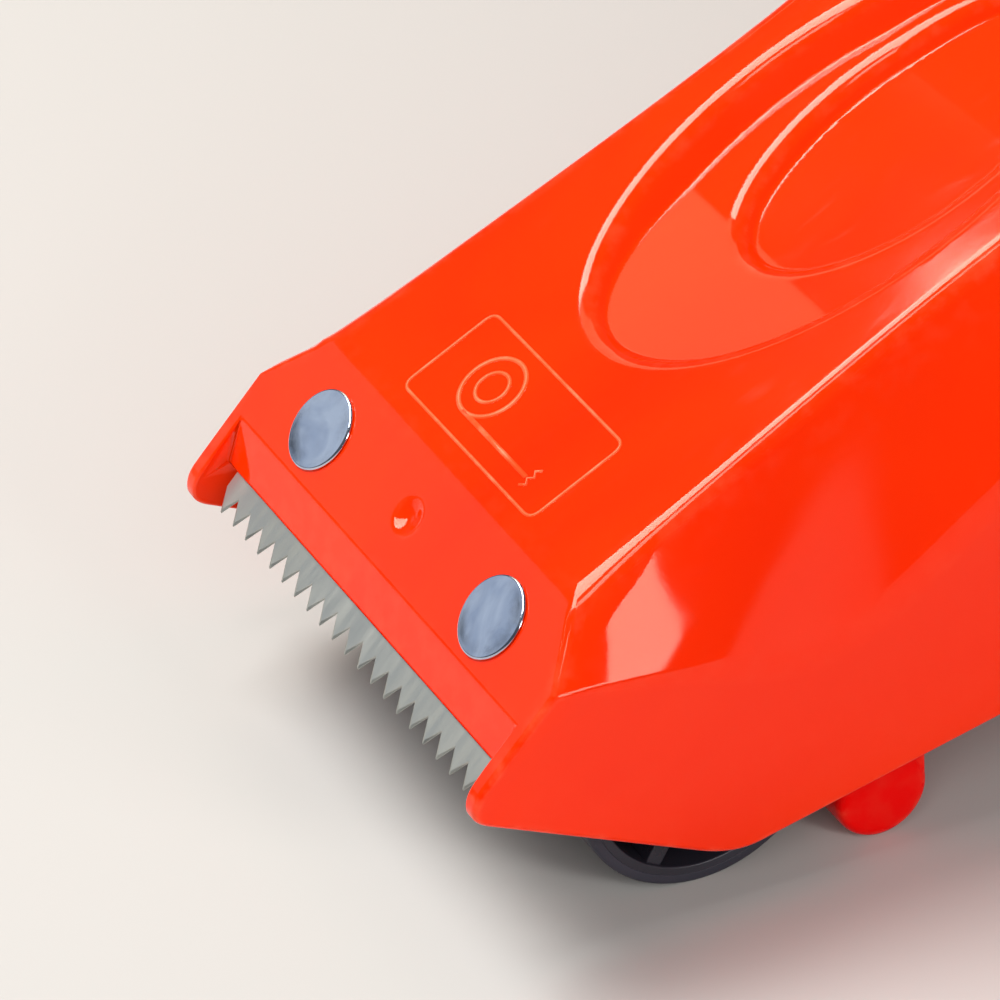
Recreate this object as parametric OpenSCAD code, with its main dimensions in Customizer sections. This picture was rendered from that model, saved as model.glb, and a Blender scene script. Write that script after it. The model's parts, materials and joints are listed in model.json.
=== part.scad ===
// Hand-held dispenser for wide packing tape. Units are millimetres, +Z is up.
// The blade end faces -Y, and the part is symmetrical about the plane X = 0.
// It stands on its press roller, its tape guide and the round lobes of its cheeks.

/* [Body] */
// Clear width between the two cheeks
inner_w = 64; // [63:0.5:70]
// Wall thickness of the cheeks
cheek_t = 2.2; // [1.8:0.1:2.6]
// Wall thickness of the top and the front plate
top_t = 2.4; // [2:0.1:2.6]
// Angle of the straight ridge above the table
ridge_angle = 28; // [26:1:30]
// Angle of the front plate above the table
plate_angle = 48.7; // [46:0.1:51]
// Outer radius of the arch over the tape roll
arch_r = 60; // [59:0.5:63]
// Angle at which the arch ends, measured from straight up
tail_angle = 74; // [66:1:78]

/* [Blade] */
// Pitch of the teeth
tooth_pitch = 3; // [2.5:0.1:3.2]
// Number of teeth
tooth_count = 20; // [16:1:20]
// Height of the teeth
tooth_h = 2.4; // [1.8:0.1:2.6]
// Thickness of the blade
blade_t = 0.5; // [0.4:0.1:0.6]
// Distance between the two rivets
rivet_gap = 39.4; // [36:0.2:42]

/* [Press roller] */
// Diameter of the roller
roller_d = 29; // [27:0.5:29]
// Length of the roller
roller_len = 59; // [56:0.5:59]
// Diameter of the axle
axle_d = 4; // [3.6:0.2:4.4]

/* [Tape guide] */
// Diameter of the cross bar
guide_d = 10.8; // [10:0.2:11]
// Thickness of the two arms
guide_arm_t = 1.8; // [1.4:0.1:2]

/* [Hub] */
// Diameter of the drums that carry the tape core
drum_d = 75.2; // [74:0.1:75.8]
// Width of one drum
drum_w = 14; // [12:0.5:15]
// Diameter of the shank that each drum turns on
stub_d = 8; // [7:0.5:9]

/* [Hidden] */

// Colours
shell_colour = "orangered";
guide_colour = "red";
steel_colour = "silver";
roller_colour = "dimgray";
rubber_colour = "darkslategray";

// Radial clearance of a running fit
fit = 0.05;
// Overlap of the canopy with each cheek, below the crease and behind the front plate
seam = 1.5;
plate_seam = 1.5;
// How far the bevel is cut into the cheeks
relief = 0.15;
// Extra length of a cutting body beyond the faces it cuts
over = 1;
round_fn = 64;

// Half widths
in_x = inner_w / 2;
out_x = in_x + cheek_t;

// The shoulder is where the front plate meets the straight ridge
shoulder = [4.9, 38.9];
shoulder_x = 27.6;
waist_x = 26;
arch_x = 32.6;

// Lengths along the front plate, from the shoulder to each edge
kink_len = 8.5;
bevel_start = 13.2;
bevel_end = 18.1;
horn_len = 22.3;

// Blade and its fixings, as distances down the front plate and across it
rivet_len = 7.5;
rivet_r = 2;
cap_r = 4.65;
cap_h = 1;
peen_r = 3.6;
peen_h = 1;
peen_bevel = 0.6;
blade_back = 2.2;
blade_back_half = 26;
blade_side = 8.5;
blade_root = 20.25;
blade_half = tooth_pitch * tooth_count / 2 - 0.1;
tip_start = 0.52;
tip_end = 0.62;
tip_slope = 0.05;
backing_t = 1;
backing_half = 27;
backing_end = 16;

// Press roller
roller_r = roller_d / 2;
roller_pos = [19.6, roller_r];
core_r = 13.3;
rim_t = 1;
spoke_t = 2;
spoke_inset = 0.4;
spoke_turn = 32;
spoke_count = 6;
web_t = 2.4;
hub_ring_r = 4.6;
boss_r = 5;
boss_tip = roller_len / 2 + 1;
axle_end = out_x - 0.9;
washer_t = 0.5;
washer_r = 4.4;

// Tape guide
guide_r = guide_d / 2;
guide_pos = [39.9, guide_r];
guide_pivot = [39.9, 20.5];
guide_out = in_x - 0.3;
guide_arm_out = guide_out - 0.2;
guide_arm_r = guide_r - 0.2;
guide_eye_r = 4.4;
guide_pin_d = 3;

// Hub
lobe_r = 39;
foot_cut = 0.4;
hub_z = lobe_r - foot_cut;
hub_pos = [shoulder[0] + (arch_r / cos(ridge_angle) + hub_z - shoulder[1]) / tan(ridge_angle),
    hub_z];
drum_r = drum_d / 2;
drum_rim_t = 2;
drum_boss_r = 9;
drum_spoke_count = 6;
drum_spoke_turn = 15;
drum_spoke_t = 4;
drum_web_t = 5;
drum_web_inset = 0.4;
drum_rib_count = 24;
drum_rib_t = 1.2;
drum_rib_h = 0.6;
drum_rib_inset = 0.4;
drum_lead = 2;
stub_r = stub_d / 2;
pad_r = 15;
pad_h = 1;
head_r = 7;
head_h = 2.2;
thread_r = 2.5;
thread_lead = 0.5;
spring_t = 0.9;
spring_r = 6.5;
drum_out = in_x - spring_t - fit;
drum_in = drum_out - drum_w;
hub_washer_t = 0.8;
hub_washer_r = 7.5;
nut_h = 4;
nut_r = 5.2;
nut_out = drum_in - fit - hub_washer_t;

function unit(v) = v / norm(v);
function along(a, len, angle) = a + len * [cos(angle), sin(angle)];
function arc(c, r, a0, a1, n) = [for (i = [0:n]) c + r * [sin(a0 + (a1 - a0) * i / n),
    cos(a0 + (a1 - a0) * i / n)]];
function mix(a, b, t) = a + (b - a) * t;
function ease(t) = (1 - cos(180 * max(0, min(1, t)))) / 2;
function bow(a, b, c, n) = [for (i = [0:n]) mix(mix(a, b, i / n), mix(b, c, i / n), i / n)];

// Points on the front plate, given by their distance down from the shoulder
function on_plate(down) = along(shoulder, -down, plate_angle);
plate_normal = [-sin(plate_angle), cos(plate_angle)];

// Half width of the ridge: narrow at the waist, wide over the roll
arch_start = hub_pos + arch_r * [-sin(ridge_angle), cos(ridge_angle)];
waist_y = 56;
function ridge_x(y) = y < waist_y
    ? mix(shoulder_x, waist_x, ease((y - shoulder[0]) / (waist_y - shoulder[0])))
    : mix(waist_x, arch_x, ease((y - waist_y) / (arch_start[0] - waist_y)));

// Side view of the ridge, as points of [y, z]
ridge_steps = 12;
arch_steps = 16;
ridge_line = [for (i = [0:ridge_steps - 1]) mix(shoulder, arch_start, i / ridge_steps)];
arch_line = arc(hub_pos, arch_r, -ridge_angle, tail_angle, arch_steps);
ridge = concat([on_plate(bevel_end), on_plate(kink_len)], ridge_line, arch_line);

// Side view of the crease, the upper edge of each flat cheek
crease_dip = [27, 26.9];
crease_r = 47;
crease_tail_r = 55;
crease_turn = -48;
crease_flare = 10;
crease_join = hub_pos + crease_r * [sin(crease_turn), cos(crease_turn)];
crease_arch = [for (i = [0:arch_steps]) let (a = mix(crease_turn, tail_angle, i / arch_steps),
    r = mix(crease_r, crease_tail_r, ease((a - crease_flare) / (tail_angle - crease_flare))))
    hub_pos + r * [sin(a), cos(a)]];
crease_front = bow([3.6, 32.3], [15, 31.8], crease_dip, 4);
crease_back = bow(crease_dip, [39, 29.5], crease_join, ridge_steps - 4);
crease = concat([for (down = [bevel_end, kink_len]) on_plate(down) - plate_seam * plate_normal],
    crease_front, [for (i = [1:ridge_steps - 5]) crease_back[i]], crease_arch);
station_count = len(ridge);

// Unit vector into the body at one point of the ridge, and the mitre at a corner
function step_dir(i) = unit(ridge[i + 1] - ridge[i]);
function inward(i) = let (a = step_dir(max(i - 1, 0)), b = step_dir(min(i, station_count - 2)),
    t = unit(a + b)) [t[1], -t[0]] / (a * t);

// One ring of the canopy: four outer points and then four inner ones
function ridge_half(i) = i < 2 ? out_x : ridge_x(ridge[i][0]);
function at(x, p) = [x, p[0], p[1]];
function ring(i) = let (k = ridge[i], c = crease[i] - seam * unit(ridge[i] - crease[i]),
    w = ridge_half(i), n = k + top_t * inward(i), v = min(in_x, w - cheek_t + 0.2))
    [at(-out_x, c), at(-w, k), at(w, k), at(out_x, c), at(in_x, c), at(v, n), at(-v, n), at(-in_x, c)];

ring_n = 8;
canopy_points = [for (i = [0:station_count - 1]) each ring(i)];
canopy_sides = [for (i = [0:station_count - 2], j = [0:ring_n - 1])
    let (a = i * ring_n + j, b = i * ring_n + (j + 1) % ring_n)
    each [[a, a + ring_n, b], [b, a + ring_n, b + ring_n]]];
function cap(o, flip) = [for (q = [[0, 1, 6], [0, 6, 7], [1, 2, 5], [1, 5, 6], [2, 3, 4], [2, 4, 5]])
    flip ? [o + q[2], o + q[1], o + q[0]] : [o + q[0], o + q[1], o + q[2]]];
canopy_faces = concat(canopy_sides, cap(0, false), cap((station_count - 1) * ring_n, true));

// Side view of one cheek below the crease, with its horn, foot edge and lobe
horn_top = on_plate(horn_len);
horn_low = horn_top + [0.3, -2.4];
toe = [20.6, 5.6];
arch_foot = [72, 17.6];
lobe_start = -124;
lobe_stop = -246;
lobe_front = hub_pos + lobe_r * [sin(lobe_start), cos(lobe_start)];
lobe_back = hub_pos + lobe_r * [sin(lobe_stop), cos(lobe_stop)];
tail_low = crease[station_count - 1];
cheek_outline = concat([on_plate(kink_len)],
    bow(horn_top + 1.2 * unit(on_plate(0) - horn_top), horn_top, horn_top + [0.1, -1], 4),
    bow(horn_low + [-0.1, 0.9], horn_low, horn_low + 1.4 * unit(toe - horn_low), 4),
    bow(mix(toe, horn_low, 0.06), toe, mix(toe, arch_foot, 0.05), 5),
    bow(mix(toe, arch_foot, 0.8), arch_foot + [14, 3], lobe_front, 8),
    [for (p = arc(hub_pos, lobe_r, lobe_start, lobe_stop, 32)) [p[0], max(p[1], 0)]],
    bow(lobe_back, hub_pos + lobe_r * [1.15, -0.05], tail_low, 8),
    [for (i = [station_count - 1:-1:2]) crease[i]]);

// The part is drawn from the blade end and then moved so that it is centred on Y
front_y = min([for (p = cheek_outline) p[0]]);
back_y = max([for (p = ridge) p[0]]);
shift_y = -(front_y + back_y) / 2;

// Height of the lip that is left at the foot of the bevel
bevel_lip = 0.15;

// Two-step palm rest in the top
rest_mid = 53;
outer_rest = [20.8, 33.5, 1.6];
inner_rest = [13.8, 23, 3.4];
inner_rest_mid = 59;
rest_wall = 2.2;
rest_rim = 1;

// Centre pip in the front plate
pip_len = 6.9;
pip_r = 1.6;
pip_depth = 0.8;

module side_plate(x0, x1) {
    translate([x0, 0, 0])
        rotate([90, 0, 90])
            linear_extrude(x1 - x0)
                children();
}

module cross_cylinder(p, r, x0, x1) {
    translate([x0, p[0], p[1]])
        rotate([0, 90, 0])
            cylinder(r = r, h = x1 - x0, $fn = round_fn);
}

// Frame on the front plate: X across, Y down the plate towards the teeth, Z out of it
module plate_frame() {
    translate([0, shoulder[0], shoulder[1]])
        rotate([plate_angle, 0, 0])
            mirror([0, 1, 0])
                children();
}

// Frame on the straight ridge: X across, Y up the ridge from the shoulder, Z out of it
module ridge_frame() {
    translate([0, shoulder[0], shoulder[1]])
        rotate([ridge_angle, 0, 0])
            children();
}

module ellipse(rx, ry) {
    polygon([for (i = [0:47]) [rx * cos(7.5 * i), ry * sin(7.5 * i)]]);
}

module rest_prism(mid, size, low, high, grow) {
    ridge_frame()
        translate([0, mid, low])
            linear_extrude(high - low)
                ellipse(size[0] + grow, size[1] + grow);
}

// Height of the bevel's face above the plate, at one distance down from the shoulder
function bevel_n(down) = (bevel_lip - top_t) * (down - bevel_start) / (bevel_end - bevel_start);

// What is cut away to leave the bevel between the horns
module bevel_cut() {
    plate_frame()
        translate([-in_x - relief, 0, 0])
            rotate([90, 0, 90])
                linear_extrude(inner_w + 2 * relief)
                    polygon([[bevel_start - 2 * over, bevel_n(bevel_start - 2 * over)],
                        [bevel_end + 2 * over, bevel_n(bevel_end + 2 * over)],
                        [bevel_end + 2 * over, 2 * over], [bevel_start - 2 * over, 2 * over]]);
}

module bosses(sign) {
    mirror([sign < 0 ? 1 : 0, 0, 0]) {
        cross_cylinder(roller_pos, boss_r, boss_tip, in_x + over);
        cross_cylinder(hub_pos, pad_r, out_x - over, out_x + pad_h);
    }
}

module body_shell() {
    color(shell_colour)
        difference() {
            union() {
                polyhedron(canopy_points, canopy_faces);
                side_plate(-out_x, -in_x) polygon(cheek_outline);
                side_plate(in_x, out_x) polygon(cheek_outline);
                rest_prism(rest_mid, outer_rest, -outer_rest[2] - rest_wall, -top_t / 2, rest_rim);
                rest_prism(inner_rest_mid, inner_rest, -inner_rest[2] - rest_wall, -top_t / 2, rest_rim);
                for (s = [-1, 1])
                    bosses(s);
            }
            rest_prism(rest_mid, outer_rest, -outer_rest[2], 5 * over, 0);
            rest_prism(inner_rest_mid, inner_rest, -inner_rest[2], 5 * over, 0);
            bevel_cut();
            for (s = [-1, 1])
                mirror([s < 0 ? 1 : 0, 0, 0]) {
                    cross_cylinder(roller_pos, axle_d / 2, boss_tip - over, axle_end);
                    cross_cylinder(guide_pivot, guide_pin_d / 2, in_x - over, axle_end);
                    cross_cylinder(hub_pos, stub_r, in_x - over, out_x + pad_h + over);
                }
            plate_frame()
                translate([0, 0, -top_t - over])
                    linear_extrude(top_t + 2 * over)
                        rivet_holes();
            plate_frame()
                translate([0, pip_len, -pip_depth])
                    cylinder(r = pip_r, h = pip_depth + over, $fn = round_fn);
        }
}

module rivet_holes() {
    for (x = [-rivet_gap / 2, rivet_gap / 2])
        translate([x, rivet_len])
            circle(r = rivet_r, $fn = round_fn);
}

// Each tooth leans slightly to one side and ends in a short, slightly sloping tip
module blade() {
    teeth = [for (i = [0:tooth_count - 1]) let (left = tooth_pitch * (i - tooth_count / 2)) each [
        [max(left, -blade_half), blade_root],
        [left + tip_start * tooth_pitch, blade_root + tooth_h - tip_slope],
        [left + tip_end * tooth_pitch, blade_root + tooth_h]]];
    color(steel_colour)
        plate_frame()
            translate([0, 0, -top_t - blade_t])
                linear_extrude(blade_t)
                    difference() {
                        polygon(concat([[-blade_back_half, blade_back], [-blade_half, blade_side]],
                            teeth, [[blade_half, blade_root], [blade_half, blade_side],
                            [blade_back_half, blade_back]]));
                        rivet_holes();
                    }
}

module blade_backing() {
    color(steel_colour)
        plate_frame()
            translate([0, 0, -top_t - blade_t - backing_t])
                linear_extrude(backing_t)
                    difference() {
                        translate([-backing_half, blade_back])
                            square([2 * backing_half, backing_end - blade_back]);
                        rivet_holes();
                    }
}

// Radius of the ball that the domed cap of a rivet is cut from
dome_r = (cap_r * cap_r + cap_h * cap_h) / (2 * cap_h);
dome_steps = 8;
stack_t = top_t + blade_t + backing_t;

module rivet(x) {
    color(steel_colour)
        plate_frame()
            translate([x, rivet_len, 0])
                rotate_extrude($fn = round_fn)
                    polygon(concat([[0, -stack_t - peen_h],
                        [peen_r - peen_bevel, -stack_t - peen_h],
                        [peen_r, -stack_t - peen_h + peen_bevel], [peen_r, -stack_t],
                        [rivet_r, -stack_t], [rivet_r, 0], [cap_r, 0]],
                        [for (i = [dome_steps - 1:-1:0]) let (q = asin(cap_r / dome_r) * i / dome_steps)
                            [dome_r * sin(q), cap_h + dome_r * (cos(q) - 1)]]));
}

module rivet_left() {
    rivet(-rivet_gap / 2);
}

module rivet_right() {
    rivet(rivet_gap / 2);
}

// Press roller: spoked core, rubber sleeve and a fixed axle
module roller_core() {
    color(roller_colour)
        translate([-roller_len / 2, roller_pos[0], roller_pos[1]])
            rotate([0, 90, 0])
                difference() {
                    union() {
                        difference() {
                            cylinder(r = core_r, h = roller_len, $fn = round_fn);
                            translate([0, 0, -over])
                                cylinder(r = core_r - rim_t, h = roller_len + 2 * over, $fn = round_fn);
                        }
                        cylinder(r = hub_ring_r, h = roller_len, $fn = round_fn);
                        for (i = [0:spoke_count - 1])
                            rotate([0, 0, spoke_turn + 360 * i / spoke_count])
                                translate([hub_ring_r - over, -spoke_t / 2, spoke_inset])
                                    cube([core_r - rim_t / 2 - hub_ring_r + over, spoke_t,
                                        roller_len - 2 * spoke_inset]);
                        translate([0, 0, roller_len / 2 - web_t / 2])
                            cylinder(r = core_r - rim_t / 2, h = web_t, $fn = round_fn);
                    }
                    translate([0, 0, -over])
                        cylinder(r = axle_d / 2 + fit, h = roller_len + 2 * over, $fn = round_fn);
                }
}

module roller_tyre() {
    color(rubber_colour)
        translate([-roller_len / 2, roller_pos[0], roller_pos[1]])
            rotate([0, 90, 0])
                difference() {
                    cylinder(r = roller_r, h = roller_len, $fn = round_fn);
                    translate([0, 0, -over])
                        cylinder(r = core_r, h = roller_len + 2 * over, $fn = round_fn);
                }
}

module roller_axle() {
    color(steel_colour)
        cross_cylinder(roller_pos, axle_d / 2, -axle_end, axle_end);
}

module roller_washer(sign) {
    color(steel_colour)
        mirror([sign < 0 ? 1 : 0, 0, 0])
            difference() {
                cross_cylinder(roller_pos, washer_r, boss_tip - washer_t, boss_tip);
                cross_cylinder(roller_pos, axle_d / 2, boss_tip - over, boss_tip + over);
            }
}

module roller_washer_left() {
    roller_washer(-1);
}

module roller_washer_right() {
    roller_washer(1);
}

// Tape guide: a thick cross bar that hangs on two arms
module guide_arm() {
    side_plate(guide_arm_out - guide_arm_t, guide_arm_out)
        difference() {
            union() {
                translate(guide_pos)
                    circle(r = guide_arm_r, $fn = round_fn);
                translate(guide_pivot)
                    circle(r = guide_eye_r, $fn = round_fn);
                polygon([guide_pos + [guide_arm_r, 0], guide_pivot + [guide_eye_r, 0],
                    guide_pivot - [guide_eye_r, 0], guide_pos - [guide_arm_r, 0]]);
            }
            translate(guide_pivot)
                circle(r = guide_pin_d / 2 + fit, $fn = round_fn);
        }
}

module tape_guide() {
    color(guide_colour)
        union() {
            guide_arm();
            mirror([1, 0, 0])
                guide_arm();
            cross_cylinder(guide_pos, guide_r, -guide_out, guide_out);
        }
}

module guide_pin() {
    color(steel_colour)
        cross_cylinder(guide_pivot, guide_pin_d / 2, -axle_end, axle_end);
}

// Hub drum: rim, spoked web beside the cheek, boss, and ribs that grip the core
module hub_drum() {
    rim_r = drum_r - drum_rib_h;
    bore_r = rim_r - drum_rim_t;
    color(roller_colour)
        translate([drum_in, hub_pos[0], hub_pos[1]])
            rotate([0, 90, 0])
                difference() {
                    union() {
                        difference() {
                            cylinder(r = rim_r, h = drum_w, $fn = 2 * round_fn);
                            translate([0, 0, -over])
                                cylinder(r = bore_r, h = drum_w + 2 * over, $fn = 2 * round_fn);
                        }
                        cylinder(r = drum_boss_r, h = drum_w, $fn = round_fn);
                        for (i = [0:drum_spoke_count - 1])
                            rotate([0, 0, drum_spoke_turn + 360 * i / drum_spoke_count])
                                translate([drum_boss_r - over, -drum_spoke_t / 2,
                                    drum_w - drum_web_inset - drum_web_t])
                                    cube([bore_r - drum_boss_r + 1.6 * over, drum_spoke_t, drum_web_t]);
                        for (i = [0:drum_rib_count - 1])
                            rotate([0, 0, 360 * (i + 0.5) / drum_rib_count])
                                translate([rim_r - over, -drum_rib_t / 2, drum_lead])
                                    cube([drum_rib_h + over, drum_rib_t,
                                        drum_w - drum_lead - drum_rib_inset]);
                    }
                    translate([0, 0, -over])
                        cylinder(r = stub_r + fit, h = drum_w + 2 * over, $fn = round_fn);
                }
}

module hub_drum_right() {
    hub_drum();
}

module hub_drum_left() {
    mirror([1, 0, 0])
        hub_drum();
}

// Stub bolt: a pan head outside the cheek, a shank for the drum and a threaded end
module hub_bolt() {
    bolt_end = nut_out - nut_h - thread_lead * 2;
    seat = out_x + pad_h;
    color(steel_colour)
        translate([0, hub_pos[0], hub_pos[1]])
            rotate([0, 90, 0])
                rotate_extrude($fn = round_fn)
                    polygon(concat([[0, bolt_end], [thread_r - thread_lead, bolt_end],
                        [thread_r, bolt_end + thread_lead], [thread_r, nut_out],
                        [stub_r, nut_out], [stub_r, seat], [head_r, seat]],
                        bow([head_r, seat + head_h / 2], [head_r * 0.8, seat + head_h],
                            [0, seat + head_h], 6)));
}

module hub_bolt_right() {
    hub_bolt();
}

module hub_bolt_left() {
    mirror([1, 0, 0])
        hub_bolt();
}

module hub_ring(x0, x1, r) {
    color(steel_colour)
        difference() {
            cross_cylinder(hub_pos, r, x0, x1);
            cross_cylinder(hub_pos, stub_r, x0 - over, x1 + over);
        }
}

module hub_spring_right() {
    hub_ring(in_x - spring_t, in_x, spring_r);
}

module hub_spring_left() {
    mirror([1, 0, 0])
        hub_ring(in_x - spring_t, in_x, spring_r);
}

module hub_washer_right() {
    hub_ring(nut_out, drum_in - fit, hub_washer_r);
}

module hub_washer_left() {
    mirror([1, 0, 0])
        hub_ring(nut_out, drum_in - fit, hub_washer_r);
}

module hub_nut() {
    color(steel_colour)
        difference() {
            translate([nut_out - nut_h, hub_pos[0], hub_pos[1]])
                rotate([0, 90, 0])
                    cylinder(r = nut_r, h = nut_h, $fn = 6);
            cross_cylinder(hub_pos, thread_r, nut_out - nut_h - over, nut_out + over);
        }
}

module hub_nut_right() {
    hub_nut();
}

module hub_nut_left() {
    mirror([1, 0, 0])
        hub_nut();
}

translate([0, shift_y, 0]) {
    body_shell();
    blade();
    blade_backing();
    rivet_left();
    rivet_right();
    roller_core();
    roller_tyre();
    roller_axle();
    roller_washer_left();
    roller_washer_right();
    tape_guide();
    guide_pin();
    hub_drum_left();
    hub_drum_right();
    hub_bolt_left();
    hub_bolt_right();
    hub_spring_left();
    hub_spring_right();
    hub_washer_left();
    hub_washer_right();
    hub_nut_left();
    hub_nut_right();
}
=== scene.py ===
"""Hand-held dispenser for wide packing tape: moulded shell, toothed blade, press roller, guide and hub."""

import json
import math

import bmesh
import bpy
from mathutils import Matrix, Quaternion, Vector


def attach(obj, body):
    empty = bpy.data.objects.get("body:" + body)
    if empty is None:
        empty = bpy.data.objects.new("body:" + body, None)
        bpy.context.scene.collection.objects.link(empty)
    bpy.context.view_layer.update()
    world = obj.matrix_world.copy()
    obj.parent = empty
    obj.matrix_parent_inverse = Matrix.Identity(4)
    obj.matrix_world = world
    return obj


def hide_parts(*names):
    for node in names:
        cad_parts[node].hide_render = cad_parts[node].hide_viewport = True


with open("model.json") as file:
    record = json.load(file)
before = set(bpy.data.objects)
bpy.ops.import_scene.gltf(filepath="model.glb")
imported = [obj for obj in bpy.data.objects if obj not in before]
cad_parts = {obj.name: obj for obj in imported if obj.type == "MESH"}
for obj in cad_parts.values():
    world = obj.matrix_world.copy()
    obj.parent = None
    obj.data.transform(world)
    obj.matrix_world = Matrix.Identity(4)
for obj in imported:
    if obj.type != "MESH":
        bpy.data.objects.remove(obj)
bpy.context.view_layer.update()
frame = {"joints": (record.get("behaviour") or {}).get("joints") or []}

# ---------------------------------------------------------------- sizes, in millimetres
# Lengths are as in the part: y and z are measured in the blade end's own frame, where the press
# roller's axis is at (19.6, 14.5). The row frame has its origin in the middle, so y is shifted.
ROLLER = (19.6, 14.5)
GUIDE = (39.9, 5.4)
PIVOT = (39.9, 20.5)
HUB = (132.139, 38.6)
JOINTS = {j["name"]: j for j in frame["joints"]}
SHIFT_Y = JOINTS["press_roller_spin"]["pos_m"][1] * 1000 - ROLLER[0]

# Inner and outer face of the right cheek, and thickness of the top and of the walls
IN_X = 32.0
OUT_X = 34.2
TOP_T = 2.4
WALL_T = 2.2

# Slopes, the shoulder where plate and ridge meet, and half widths of the top along the ridge
PLATE_ANGLE = math.radians(48.7)
RIDGE_ANGLE = math.radians(28)
SHOULDER = Vector((4.9, 38.9))
SHOULDER_X = 27.6
WAIST_X = 26.0
ARCH_X = 32.6
WAIST_Y = 56
ARCH_R = 60
TAIL_ANGLE = math.radians(74)

# Lengths down the front plate from the shoulder
KINK_LEN = 8.5
BEVEL_START = 13.2
BEVEL_END = 18.1
BEVEL_LIP = 0.15
HORN_LEN = 22.3
RIVET_LEN = 7.5
BLADE_BACK = 2.2
BLADE_SIDE = 8.5
BLADE_ROOT = 20.25
BACKING_END = 16

# Rivets, blade with its teeth, and the backing strip, across the plate and in thickness
RIVET_X = 19.7
BLADE_BACK_HALF = 26
BACKING_HALF = 27
TOOTH_H = 2.4
PITCH = 3.0
TEETH = 20
BLADE_T = 0.5
BACKING_T = 1.0
BLADE_GAP = 0.1

# Axle of the roller, pin of the guide, shank of the hub bolts and outer face of their pads
AXLE_R = 2.0
PIN_R = 1.5
SHANK_R = 4.0
PAD_OUT = 35.2

# Widest rounding of an edge; the weight of an edge's rounding is a share of it
MAX_ROUND = 2.5
# A length or radius below this counts as none
NOTHING = 1e-6


def row(x, y, z):
    """A point of the part, in metres in the row frame."""
    return Vector((x, y + SHIFT_Y, z)) / 1000


# ---------------------------------------------------------------- curves
def mix(a, b, t):
    return a + (b - a) * t


def ease(t):
    t = max(0.0, min(1.0, t))
    return (1 - math.cos(math.pi * t)) / 2


def spread(a, b, step):
    """Evenly spaced values from a to b, both included, about one step apart."""
    n = max(1, round(abs(b - a) / step))
    return [mix(a, b, i / n) for i in range(n + 1)]


def bow(a, b, c, n):
    """A quadratic curve from a to c, pulled towards b."""
    return [mix(mix(a, b, i / n), mix(b, c, i / n), i / n) for i in range(n + 1)]


def polar(centre, radius, angle):
    """A point of [y, z] at an angle measured from straight up, towards the rear."""
    return Vector((centre[0] + radius * math.sin(angle), centre[1] + radius * math.cos(angle)))


DOWN_PLATE = Vector((-math.cos(PLATE_ANGLE), -math.sin(PLATE_ANGLE)))
PLATE_OUT = Vector((-math.sin(PLATE_ANGLE), math.cos(PLATE_ANGLE)))
UP_RIDGE = Vector((math.cos(RIDGE_ANGLE), math.sin(RIDGE_ANGLE)))
RIDGE_OUT = Vector((-math.sin(RIDGE_ANGLE), math.cos(RIDGE_ANGLE)))
ARCH_START = Vector(HUB) + ARCH_R * RIDGE_OUT
STRAIGHT = (ARCH_START - SHOULDER).length


def on_plate(down, out=0.0):
    return SHOULDER + down * DOWN_PLATE + out * PLATE_OUT


def plate_half(down):
    """Half width of the front plate, which widens from the shoulder to the kink."""
    return mix(SHOULDER_X, OUT_X, min(1.0, down / KINK_LEN))


def ridge_half(y):
    if y < WAIST_Y:
        return mix(SHOULDER_X, WAIST_X, ease((y - SHOULDER[0]) / (WAIST_Y - SHOULDER[0])))
    return mix(WAIST_X, ARCH_X, ease((y - WAIST_Y) / (ARCH_START[0] - WAIST_Y)))


def smooth_line(points):
    """A function that runs smoothly through [y, z] points that are in order of y."""

    def slope(i):
        a, b = points[max(i - 1, 0)], points[min(i + 1, len(points) - 1)]
        return (b[1] - a[1]) / (b[0] - a[0])

    def at(y):
        i = max(k for k in range(len(points) - 1) if k == 0 or points[k][0] <= y)
        (y0, z0), (y1, z1) = points[i], points[i + 1]
        t, h = (y - y0) / (y1 - y0), y1 - y0
        return (
            (2 * t**3 - 3 * t**2 + 1) * z0
            + (t**3 - 2 * t**2 + t) * h * slope(i)
            + (3 * t**2 - 2 * t**3) * z1
            + (t**3 - t**2) * h * slope(i + 1)
        )

    return at


# Upper edge of the flat cheek: nearly level behind the kink, a dip, and a rise to the arch
CREASE_TURN = math.radians(-48)
CREASE_R = 47
CREASE_TAIL_R = 55
CREASE_JOIN = polar(HUB, CREASE_R, CREASE_TURN)
KINK = on_plate(KINK_LEN)
DIP = [(4.5, 32.0), (15, 30.4), (26, 28.2), (33, 28.7), (39.3, 32.0), (50, 40.4), (72, 56.5)]
crease_z = smooth_line([tuple(KINK), *DIP, tuple(CREASE_JOIN)])

# Two-step palm rest: centre up the ridge, half width, half length, depth of the step at its ends,
# and how much deeper its floor gets towards the middle, down a ramp at each end
PALM_STEPS = [(52.8, 20.8, 33.5, 1.0, 2.3), (59.7, 13.8, 23.0, 1.4, 0.4)]
RAMP_START = 0.38
RIM_R = 3.0
FOOT_R = 0.5
RIM_TURN = math.radians(52)


def rim_drop(inside, depth):
    """Depth at a distance inside a rim: a wide round edge, a steep wall and a tight foot."""
    turn = min(RIM_TURN, math.acos(max(0.0, 1 - depth / (RIM_R + FOOT_R))))
    edge, foot = RIM_R * math.sin(turn), FOOT_R * math.sin(turn)
    wall = (depth - (RIM_R + FOOT_R) * (1 - math.cos(turn))) / math.tan(turn)
    if inside <= 0:
        return 0.0
    if inside < edge:
        return RIM_R - math.sqrt(RIM_R**2 - inside**2)
    if inside < edge + wall:
        return RIM_R * (1 - math.cos(turn)) + (inside - edge) * math.tan(turn)
    left = edge + wall + foot - inside
    return depth - FOOT_R + math.sqrt(FOOT_R**2 - left**2) if left > 0 else depth


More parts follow.
